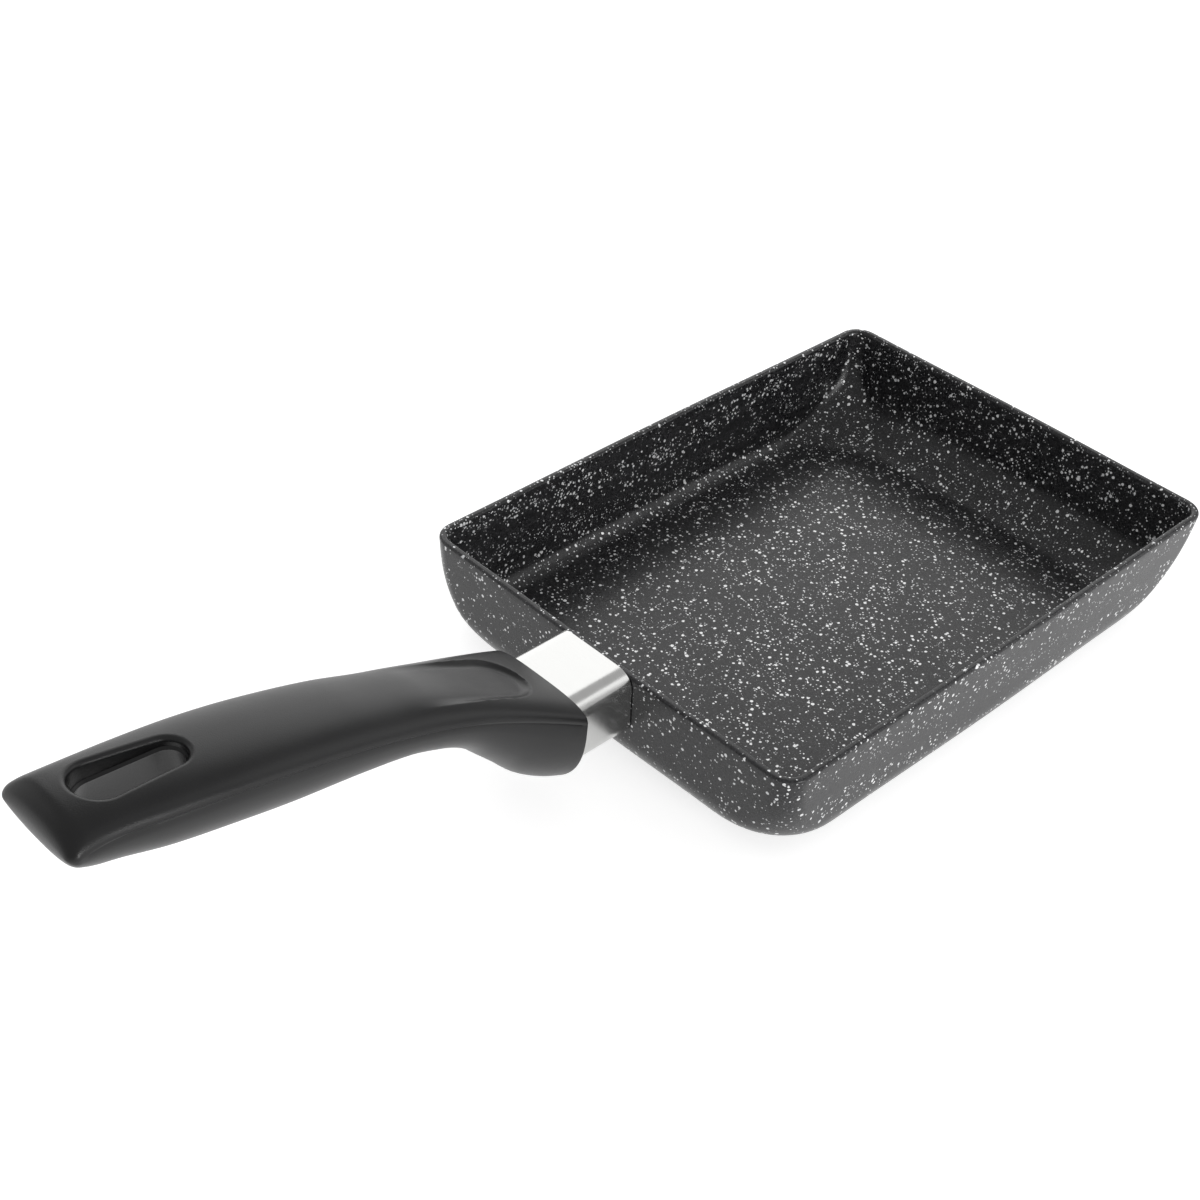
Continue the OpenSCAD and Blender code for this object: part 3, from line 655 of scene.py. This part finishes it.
def slot_ring(part, step):
    """One ring of the cutter: part says whether it follows the top, the ridge or the underside."""
    points = []
    for x, distance, out_x, out_d in slot_points:
        offset = -RIDGE * (0.8, 1.0, 0.0)[step + 1] if part == "ridge" else flare[step][1]
        if part == "under":
            offset += SLOT_FLARE
        px, place = x + out_x * offset, distance + out_d * offset
        across = px if step else 0.0
        if part == "top":
            z = top_at(across, place) - flare[step][0]
        elif part == "under":
            z = bottom_at(across, place) + flare[step][0]
        else:
            z = min(RIDGE_Z, top_at(px, place) - SLOT_EDGE - 2 * RIDGE) + (-0.3, 0.0, RIDGE)[step + 1]
        points.append((px, GRIP_Y - place, z))
    return points


rings = [slot_ring("under", i) for i in range(len(flare))] + [slot_ring("ridge", s) for s in (-1, 0, 1)]
rings += [slot_ring("top", i) for i in reversed(range(len(flare)))]
print("slot cutter rings:", len(rings), "of", len(slot_points))

# %% Cut the grip
def cutter_object(name, mesh):
    """A closed cutting shape as an object that isn't rendered."""
    bmesh.ops.recalc_face_normals(mesh, faces=mesh.faces)
    data = bpy.data.meshes.new(name)
    mesh.to_mesh(data)
    mesh.free()
    cutter = bpy.data.objects.new(name, data)
    bpy.context.scene.collection.objects.link(cutter)
    return cutter


cut = bmesh.new()
ends = loft(cut, rings)
close_end(cut, ends[0], 0.2)
close_end(cut, ends[-1], 0.2)
slot_cutter = cutter_object("slot_cutter", cut)

cut = bmesh.new()
CUT_PAST = 4.0   # how far the seat's cutter stands out in front of the grip
seat_ring = round_rectangle(GUARD_W + 2 * SLIDE_FIT, GUARD_H + 2 * SLIDE_FIT, GUARD_R + SLIDE_FIT)
seat = [(x, z + GUARD_Z) for x, z in seat_ring]
ends = loft(cut, [[(x, y, z) for x, z in seat] for y in (GRIP_Y - GUARD_SEAT, GRIP_Y + CUT_PAST)])
close_end(cut, ends[0], 0.2)
close_end(cut, ends[-1], 0.2)
seat_cutter = cutter_object("seat_cutter", cut)

cut = bmesh.new()
bore = bmesh.ops.create_cone(cut, cap_ends=True, segments=64, radius1=SCREW_BORE_R * MM,
                             radius2=SCREW_BORE_R * MM, depth=SEAT_Z * MM)["verts"]
bmesh.ops.translate(cut, verts=bore, vec=Vector((0, GRIP_Y - SCREW_SET, SEAT_Z / 2)) * MM)
bore_cutter = cutter_object("bore_cutter", cut)

mesh = bmesh.new()
ends = loft(mesh, [grip_outline(d) for d in places])
close_end(mesh, ends[0], 0.3)
close_end(mesh, ends[-1], 0.0)
grip = finish_piece("moulded_grip", mesh, moulding, "handle_grip", sharp=35.0)
for cutter in (slot_cutter, seat_cutter, bore_cutter):
    step = grip.modifiers.new(cutter.name, "BOOLEAN")
    step.operation, step.solver, step.object = "DIFFERENCE", "EXACT", cutter
bpy.context.view_layer.update()
shaped = bpy.data.meshes.new_from_object(grip.evaluated_get(bpy.context.evaluated_depsgraph_get()))
grip.modifiers.clear()
grip.data = shaped
shaped.polygons.foreach_set("use_smooth", [True] * len(shaped.polygons))
shaped.set_sharp_from_angle(angle=math.radians(35.0))
for cutter in (slot_cutter, seat_cutter, bore_cutter):
    bpy.data.objects.remove(cutter)
print("cut grip:", len(shaped.polygons), "faces")

# %% [markdown]
# ## The small metal pieces
#
# The bracket, rivets, screw, washer and nut keep their solids. Little of them shows: the rivets' heads inside
# the pan, and the screw's head up its bore.

# %% Finishes for the solids that stay
FINISHES = {"handle_bracket": plain_steel, "bracket_rivets": rivet_metal, "handle_screw": zinc_steel,
            "lock_washer": spring_steel, "bracket_nut": plain_steel}
for node, material in FINISHES.items():
    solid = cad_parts[node]
    solid.data.materials.clear()
    solid.data.materials.append(material)
print("finished solids:", len(FINISHES))

# %% [markdown]
# ## Floor, light and camera
#
# The floor is a pale sheet that looks white to the camera and to metal that mirrors it, and that keeps the
# pan's shadow. The world is a plain soft white, and four square lamps add to it. Two stand at the back and
# give the sheen on the coating and the grip, one lies low at the right and lights the right wall's outside,
# and a faint one fills in from the front left. The camera was solved from the rim's corners.

# %% The floor
floor_mesh = bmesh.new()
FLOOR_HALF, FLOOR_DROP = 6.0, 0.0002   # in metres; the drop keeps the floor just clear of the base
bmesh.ops.create_grid(floor_mesh, x_segments=1, y_segments=1, size=FLOOR_HALF)
floor_data = bpy.data.meshes.new("studio_floor")
floor_mesh.to_mesh(floor_data)
floor_mesh.free()
studio_floor = bpy.data.objects.new("studio_floor", floor_data)
bpy.context.scene.collection.objects.link(studio_floor)
studio_floor.location.z = -FLOOR_DROP
sheet, tree, shader, place = new_material("Studio floor")
shader.inputs["Base Color"].default_value = (0.6, 0.6, 0.6, 1)
shader.inputs["Roughness"].default_value = 0.9
glow = add(tree, "ShaderNodeEmission", {"Color": (1, 1, 1, 1), "Strength": 0.74})
both = add(tree, "ShaderNodeAddShader", {0: shader.outputs[0], 1: glow.outputs[0]})
paths = add(tree, "ShaderNodeLightPath").outputs
seen = maths(tree, "MAXIMUM", paths["Is Camera Ray"], paths["Is Glossy Ray"])
pick = add(tree, "ShaderNodeMixShader", {0: seen, 1: shader.outputs[0], 2: both.outputs[0]})
tree.links.new(pick.outputs[0], tree.nodes["Material Output"].inputs["Surface"])
floor_data.materials.append(sheet)
print("floor ready")

# %% The world
world = bpy.data.worlds.new("Studio")
bpy.context.scene.world = world
world.use_nodes = True
tree = world.node_tree
tree.nodes.clear()
paths = add(tree, "ShaderNodeLightPath")
lit = add(tree, "ShaderNodeBackground", {"Color": (1, 1, 1, 1), "Strength": 0.58})
plain = add(tree, "ShaderNodeBackground", {"Color": (1, 1, 1, 1), "Strength": 1.0})
pick = add(tree, "ShaderNodeMixShader",
           {0: paths.outputs["Is Camera Ray"], 1: lit.outputs[0], 2: plain.outputs[0]})
add(tree, "ShaderNodeOutputWorld", {0: pick.outputs[0]})
print("world ready")

# %% The lamps
def soft_panel(name, azimuth, elevation, distance, size, power):
    """A square lamp that faces the pan; azimuth counts from +Y towards +X, in degrees."""
    a, e = math.radians(azimuth), math.radians(elevation)
    towards = Vector((math.sin(a) * math.cos(e), math.cos(a) * math.cos(e), math.sin(e)))
    lamp = bpy.data.lights.new(name, "AREA")
    lamp.size, lamp.energy = size, power
    thing = bpy.data.objects.new(name, lamp)
    thing.location = towards * distance
    thing.rotation_euler = towards.to_track_quat("Z", "Y").to_euler()
    bpy.context.scene.collection.objects.link(thing)


PANELS = [("back_left_panel", -50, 27, 1.5, 1.4, 7.0), ("back_right_panel", 36, 28, 1.5, 1.0, 2.8),
          ("right_panel", 92, 6, 1.5, 0.6, 12.0), ("front_left_panel", -120, 25, 1.5, 1.0, 1.2)]
for panel in PANELS:
    soft_panel(*panel)
print("lamps:", len(PANELS))

# %% The camera
def look(azimuth, elevation, roll):
    """The camera's turn, from its azimuth, elevation and roll in degrees."""
    a, e, r = (math.radians(v) for v in (azimuth, elevation, roll))
    back = Vector((math.sin(a) * math.cos(e), -math.cos(a) * math.cos(e), math.sin(e)))
    right = Vector((math.cos(a), math.sin(a), 0.0))
    up = back.cross(right)
    right, up = right * math.cos(r) + up * math.sin(r), up * math.cos(r) - right * math.sin(r)
    return Matrix((right, up, back)).transposed()


camera_data = bpy.data.cameras.new("photo_camera")
camera_data.sensor_width = 36.0
camera_data.lens = 60.41
camera = bpy.data.objects.new("photo_camera", camera_data)
bpy.context.scene.collection.objects.link(camera)
SOLVED_PLACE = (0.27455, -0.38002, 0.36077)          # metres
SOLVED_TURN = look(43.564, 38.02, 4.294).to_4x4()     # azimuth, elevation and roll
camera.matrix_world = Matrix.Translation(SOLVED_PLACE) @ SOLVED_TURN
bpy.context.scene.camera = camera
bpy.context.scene.view_settings.view_transform = "Standard"
print("camera at", [round(v, 3) for v in camera.location])
